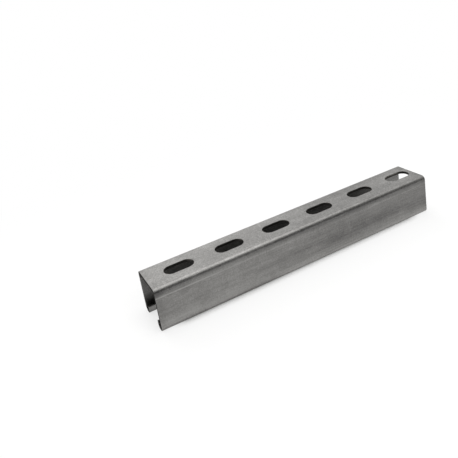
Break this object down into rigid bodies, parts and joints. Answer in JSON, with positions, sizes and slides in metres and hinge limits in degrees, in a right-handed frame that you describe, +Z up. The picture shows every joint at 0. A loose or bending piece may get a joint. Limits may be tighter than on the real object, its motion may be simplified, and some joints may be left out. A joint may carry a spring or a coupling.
{
  "type": "strut channel",
  "caption": "Straight slotted steel framing channel of square C section, with two in-turned lips along its open side and a row of round-ended slots in its back.",
  "frame": {"origin": "middle of the length and of the width, on the plane that the two lips stand on", "axes": "+X along the length, away from the end whose first slot lies 31.75 mm in; +Y across the channel; +Z up, out of the slotted back"},
  "size_m": [0.3048, 0.0412, 0.0413],
  "materials": {
    "galvanised_steel": "galvanised"
  },
  "bodies": {
    "root": {"strut_channel": "galvanised_steel"}
  },
  "joints": []
}
